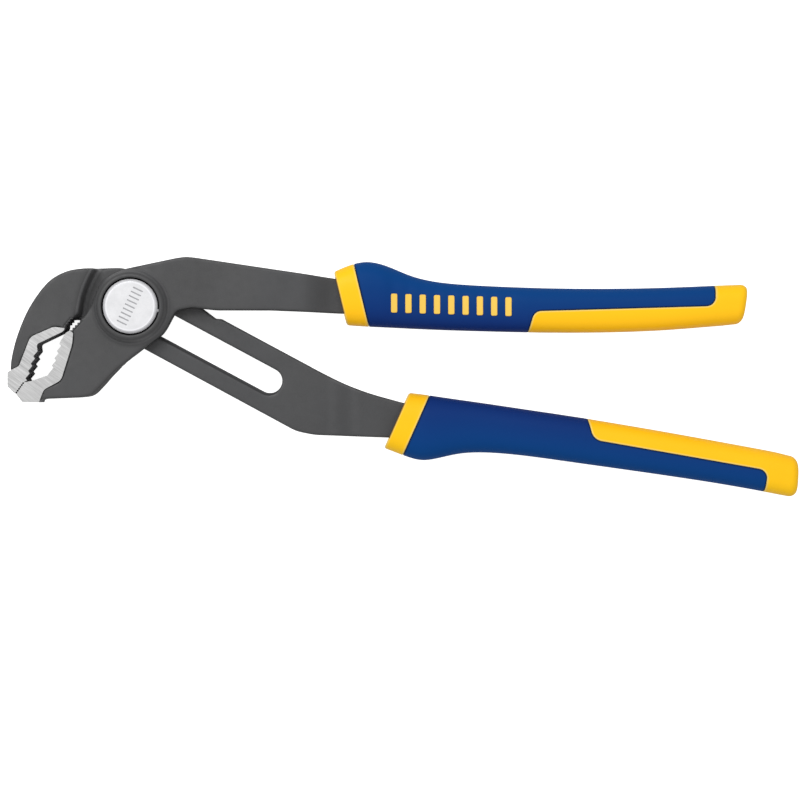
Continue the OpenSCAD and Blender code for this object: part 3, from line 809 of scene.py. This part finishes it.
def shell_from(grip, name, outer, inner, rim, closed_end, material):
    """A solid shell from equal grids of outer and inner points, whose rows run round the section."""
    bm = bmesh.new()
    rim_painted_light_shade_layer = bm.verts.layers.float.new("rim")
    outward_light_layer = bm.verts.layers.float.new("outward_painted_light")

    def plant(rows, values):
        planted = []
        for row, shares in zip(rows, values):
            line = []
            places = grip.to_frame(row)
            mid, wide, _ = grip.shape(row[:, 0], 0.0)
            # share of the outer side's painted light across the grip
            out = np.clip(0.5 + (row[:, 1] - mid) / (2 * wide) * grip.outer, 0, 1)
            for p, share, o in zip(places, shares, out):
                v = bm.verts.new(p)
                v[rim_painted_light_shade_layer], v[outward_light_layer] = float(share), float(o)
                line.append(v)
            planted.append(line)
        return planted

    a, b = plant(outer, rim), plant(inner, rim * 0)
    m = len(a[0])
    for grid, turned in ((a, False), (b, True)):
        for r0, r1 in zip(grid, grid[1:]):
            for j in range(m - 1):
                face = (r0[j], r0[j + 1], r1[j + 1], r1[j])
                bm.faces.new(face[::-1] if turned else face)
    for j in range(m - 1):
        bm.faces.new((a[0][j + 1], a[0][j], b[0][j], b[0][j + 1]))
        if not closed_end:
            bm.faces.new((a[-1][j], a[-1][j + 1], b[-1][j + 1], b[-1][j]))
    for i in range(len(a) - 1):
        bm.faces.new((a[i][0], a[i + 1][0], b[i + 1][0], b[i][0]))
        bm.faces.new((a[i + 1][-1], a[i][-1], b[i][-1], b[i + 1][-1]))
    # where the row is a full ring, its two edges meet and the walls between them go
    bmesh.ops.remove_doubles(bm, verts=bm.verts, dist=1.5e-6)
    seen, spare = {}, []
    for face in bm.faces:
        key = frozenset(face.verts)
        if len(key) < 3:
            spare.append(face)
        elif key in seen:
            spare += [face, seen[key]]
        else:
            seen[key] = face
    bmesh.ops.delete(bm, geom=list(set(spare)), context="FACES_ONLY")
    loose = [v for v in bm.verts if not v.link_faces]
    bmesh.ops.delete(bm, geom=loose, context="VERTS")
    bmesh.ops.recalc_face_normals(bm, faces=bm.faces)
    for face in bm.faces:
        face.smooth = True
    return new_piece(name, bm, grip.body, [material])


def region_piece(grip, part, line, first, last, about_top, side, material, to_end=False):
    """The cover or the inlay: the skin on one side of the seam line, between two stations."""
    s = stations(first, grip.x_end if to_end else last, line)
    shifted = line + np.array([0.0, side * GAP])
    y = np.interp(s, shifted[:, 0], shifted[:, 1])
    seam_angles = grip.angle_of(s, y)
    count = 46  # points from the seam to the edge opposite it
    outer, inner, rims = [], [], []
    end_from = grip.x_end - grip.end_r
    for place, angle in zip(s, seam_angles):
        if to_end and place > last:
            angle = 0.0 if not about_top else math.pi
        phi = span(angle, about_top, count)
        flat_row = grip.at(place, phi)
        distance = to_line(flat_row[:, :2], line)
        if not to_end:
            distance = np.minimum(distance, abs(place - first))
        depth = roll(distance)
        outer.append(grip.at(place, phi, depth))
        back = SHELL * np.clip((place - end_from) / grip.end_r, 0, 1)
        inner.append(grip.at(place - back, phi, SHELL))
        rims.append(rim_painted_light_shade_share(distance))
    if to_end:
        # the rounded end closes over a slightly bulging face
        last_outer, last_inner = outer[-1], inner[-1]
        for q in (0.92, 0.8, 0.6, 0.4, 0.2, 0.0):
            for rows, ring in ((outer, last_outer), (inner, last_inner)):
                centre = ring.mean(axis=0)
                centre[1] = (ring[:, 1].max() + ring[:, 1].min()) / 2
                centre[0] = np.interp(centre[1], np.sort(ring[:, 1]), ring[np.argsort(ring[:, 1]), 0])
                rows.append(centre + (ring - centre) * q)
            rims.append(rims[-1] * 0)
    obj = shell_from(grip, f"{grip.side}_grip_{part}_moulded", outer, inner, np.array(rims),
                     to_end, material)
    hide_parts(f"{grip.side}_grip_{part}")


def collar(grip):
    """The wide collar at the mouth, a closed ring round the tang."""
    count = 168  # points in each ring
    phi = np.interp(np.linspace(0, 1, count, endpoint=False), ARCS, ANGLES)
    cos, sin = np.cos(phi), np.sin(phi)
    largest = np.maximum(np.abs(cos), np.abs(sin))

    def tang(s):
        """The tang's outline in the leaning section at s."""
        k = float(grip.shear(np.array(s)))
        ends = []
        for sign in (1, -1):
            start = Vector((s + k * FAR * sign, FAR * sign, LAP))
            hit = grip.steel.ray_cast(start, Vector((-k * sign, -sign, 0)).normalized())[0]
            ends.append(hit[1])
        mid, wide = sum(ends) / 2, (ends[0] - ends[1]) / 2 + play
        y = mid + wide * cos / largest
        return np.stack([s + k * y, y, LAP + (tang_half + play) * sin / largest], -1)

    play = 0.04  # mm, air round the tang
    tang_half = 3.0  # mm, half the tang's thickness
    edge = 0.75  # mm, rounding of the collar's front edge
    mouth, seam = grip.mouth, grip.seam - GAP
    rings, rims, lips = [], [], {}
    for s in np.concatenate([seam - np.array(NEAR_EDGE), np.arange(seam - 0.8, mouth + edge + 0.1, -0.35)]):
        distance = seam - s
        rings.append(grip.at(s, phi, float(roll(distance))))
        rims.append(float(rim_painted_light_shade_share(distance)))
    for t in np.linspace(0, 90, 7):
        a = math.radians(t)
        rings.append(grip.at(mouth + edge * (1 - math.sin(a)), phi, edge * (1 - math.cos(a))))
        # painted highlight on the rounded front edge
        rims.append(0.7 * math.sin(2 * a))
        # painted shadow from the inner part of the front edge's rounding onwards
        lips[len(rings) - 1] = min(1.0, max(0.0, (t - 20) / 40))
    face, hole = rings[-1], tang(mouth)
    for q in (0.15, 0.5, 0.85):
        rings.append(face + (hole - face) * q)
        rims.append(0.0)
        lips[len(rings) - 1] = 1.0
    rings += [hole, tang(mouth + 3.0)]
    rims += [0.0, 0.0]
    deep = grip.at(seam - 0.1, phi, 2.4)
    rings.append(deep + (tang(seam) - deep) * 0.6)
    rings.append(grip.at(seam, phi, SHELL))
    rims += [0.0, 0.0]

    bm = bmesh.new()
    rim_painted_light_shade_layer = bm.verts.layers.float.new("rim")
    outward_light_layer = bm.verts.layers.float.new("outward_painted_light")
    lip_layer = bm.verts.layers.float.new("lip")
    tang_low, tang_high = hole[:, 1].min() - 0.1, hole[:, 1].max() + 0.1
    grid = []
    for i, (ring, share) in enumerate(zip(rings, rims)):
        line = []
        mid, wide, _ = grip.shape(ring[:, 0], 0.0)
        out = np.clip(0.5 + (ring[:, 1] - mid) / (2 * wide) * grip.outer, 0, 1)
        for p, y, o in zip(grip.to_frame(ring), ring[:, 1], out):
            v = bm.verts.new(p)
            v[rim_painted_light_shade_layer], v[outward_light_layer] = share, float(o)
            v[lip_layer] = lips.get(i, 0.0) if tang_low < y < tang_high else 0.0
            line.append(v)
        grid.append(line)
    for r0, r1 in zip(grid, grid[1:] + grid[:1]):
        for j in range(count):
            k = (j + 1) % count
            bm.faces.new((r0[j], r0[k], r1[k], r1[j]))
    bmesh.ops.recalc_face_normals(bm, faces=bm.faces)
    for face in bm.faces:
        face.smooth = True
    obj = new_piece(f"{grip.side}_grip_collar", bm, grip.body, [YELLOW])
    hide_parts(f"{grip.side}_grip_sleeve")


def build_grip(grip, line, cover_on_top, open_from):
    """Collar, blue cover and yellow inlay of one grip."""
    line = seam_line(line)
    collar(grip)
    side = 1 if cover_on_top else -1
    last = line[-1, 0]
    region_piece(grip, "cover", line, grip.seam + GAP, last, cover_on_top, side, BLUE)
    region_piece(grip, "inlay", line, open_from, last, not cover_on_top, -side,
                 YELLOW, to_end=True)


UPPER = Grip("upper", "front_half", "front_forging", origin=(0, 0), tilt=0.0, outer=1,
             mouth=66.6, seam=73.5, lean=-13.6, slant=0.15, end_r=2.1)
LOWER = Grip("lower", "rear_half", "rear_forging", origin=(80, -37), tilt=-8.5, outer=-1,
             mouth=3.1, seam=9.65, lean=15.5, slant=-0.1, end_r=2.5)

build_grip(UPPER, [[124.7, -14], [125.4, -8], [127.2, -1.5, 3], [184.1, 0.12, 3], [184.7, 14]], True, 125.0)
build_grip(LOWER, [[62.5, 20], [63.4, 10.8], [65.8, 4.8, 4], [121.5, 3.35, 3], [122.1, -12]], False, 63.0)


def raised_bars():
    """The row of plain raised bars on the upper grip, each with a rounded rim and following the skin."""
    bars, pitch, first = 9, 4.5, 83.0
    low, high, half_w, corner = -2.0, 4.0, 1.0, 0.5
    proud, soft, root, crown = 0.35, 0.18, -1.0, 0.32
    bm = bmesh.new()
    rim_painted_light_shade_layer = bm.verts.layers.float.new("rim")
    outward_light_layer = bm.verts.layers.float.new("outward_painted_light")
    for i in range(bars):
        x, drop = first + pitch * i, -0.03 * pitch * i
        loop = []
        for cx, cy, a0 in ((half_w - corner, high - corner, 0), (-half_w + corner, high - corner, 90),
                           (-half_w + corner, low + corner, 180), (half_w - corner, low + corner, 270)):
            for t in np.linspace(a0, a0 + 90, 7):
                a = math.radians(t)
                loop.append((cx, cy, math.cos(a) * corner, math.sin(a) * corner))
        # heights over the skin, from the buried root up, and how far the outline draws in there
        levels = [(root, 0.0), (proud - soft, 0.0)]
        levels += [(proud - soft + soft * math.sin(a), soft * (1 - math.cos(a)))
                   for a in np.radians([25, 50, 70, 90])]
        levels += [(proud, crown)]
        grid = []
        for level, inset in levels:
            line = []
            for cx, cy, dx, dy in loop:
                shrink = 1 - inset / corner
                px, py = x + cx + dx * shrink, drop + cy + dy * shrink
                mid, wide, thick = UPPER.shape(np.array(px), 0.0)
                c = abs((py - mid) / wide)
                z = LAP + thick * (1 - c ** (2 / SECTION)) ** (SECTION / 2)
                v = bm.verts.new(Vector((px, py, float(z) + level)) * MM)
                v[rim_painted_light_shade_layer], v[outward_light_layer] = max(0.0, 1 - inset / soft), 0.5
                line.append(v)
            grid.append(line)
        n = len(loop)
        for r0, r1 in zip(grid, grid[1:]):
            for j in range(n):
                k = (j + 1) % n
                bm.faces.new((r0[j], r0[k], r1[k], r1[j]))
        bm.faces.new(grid[0][::-1])
        # the top is closed from its two long sides, so it follows the skin's crown
        top = grid[-1]
        bmesh.ops.contextual_create(bm, geom=[e for e in bm.edges if all(v in top for v in e.verts)])
    bmesh.ops.remove_doubles(bm, verts=bm.verts, dist=1e-6)
    bmesh.ops.recalc_face_normals(bm, faces=bm.faces)
    for face in bm.faces:
        face.smooth = True
    obj = new_piece("upper_grip_raised_bars", bm, "front_half", [RAISED])
    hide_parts("upper_grip_bars")


raised_bars()


# ---------- stage ----------

def studio():
    """Pale floor, soft light from above, and the camera straight over the tool."""
    scene = bpy.context.scene
    size = 3.0  # m, half the floor's side
    mesh = bpy.data.meshes.new("floor")
    mesh.from_pydata([(-size, -size, 0), (size, -size, 0), (size, size, 0), (-size, size, 0)], [],
                     [(0, 1, 2, 3)])
    floor = linked("floor", mesh)
    floor.location = (*MIDDLE, cad_box[0].z - 0.0001)
    mat = bpy.data.materials.new("floor_pale")
    mat.use_nodes = True
    tree = mat.node_tree
    bsdf = tree.nodes["Principled BSDF"]
    bsdf.inputs["Base Color"].default_value = (0.55, 0.55, 0.55, 1)
    bsdf.inputs["Roughness"].default_value = 0.9
    bsdf.inputs["Specular IOR Level"].default_value = 0.1
    # the camera sees the floor as a white sweep, and the tool is lit by its grey
    bsdf.inputs["Emission Color"].default_value = (1, 1, 1, 1)
    path = tree.nodes.new("ShaderNodeLightPath")
    glow = tree.nodes.new("ShaderNodeMath")
    glow.operation = "MULTIPLY"
    tree.links.new(path.outputs["Is Camera Ray"], glow.inputs[0])
    glow.inputs[1].default_value = 0.92
    tree.links.new(glow.outputs[0], bsdf.inputs["Emission Strength"])
    floor.data.materials.append(mat)

    world = bpy.data.worlds.new("soft_studio")
    scene.world = world
    world.use_nodes = True
    tree = world.node_tree
    back = tree.nodes["Background"]
    coord = tree.nodes.new("ShaderNodeTexCoord")
    split = tree.nodes.new("ShaderNodeSeparateXYZ")
    tree.links.new(coord.outputs["Generated"], split.inputs[0])
    rise = tree.nodes.new("ShaderNodeMapRange")
    rise.interpolation_type = "SMOOTHSTEP"
    for name, number in (("From Min", 0.05), ("From Max", 0.95), ("To Min", 0.66), ("To Max", 0.96)):
        rise.inputs[name].default_value = number
    tree.links.new(split.outputs["Z"], rise.inputs["Value"])
    tree.links.new(rise.outputs["Result"], back.inputs["Strength"])
    back.inputs["Color"].default_value = (1, 1, 1, 1)

    light = bpy.data.lights.new("key_soft", "AREA")
    light.size = 0.6
    light.energy = 4.5
    lamp = linked("key_soft", light)
    lamp.location = (-0.25, 0.45, 0.75)
    aim = Vector((*MIDDLE, 0)) - lamp.location
    lamp.rotation_euler = aim.to_track_quat("-Z", "Y").to_euler()

    distance, view_width = 800.0, 254.0  # mm, from the camera to the lap plane, and what it sees there
    camera = bpy.data.cameras.new("camera")
    camera.sensor_width = 36.0
    camera.lens = camera.sensor_width * distance / view_width
    camera.clip_start, camera.clip_end = 0.05, 20.0
    eye = linked("camera", camera)
    eye.location = (0.08484, -0.02948, (LAP + distance) * MM)
    scene.camera = eye
    scene.view_settings.view_transform = "Standard"


studio()
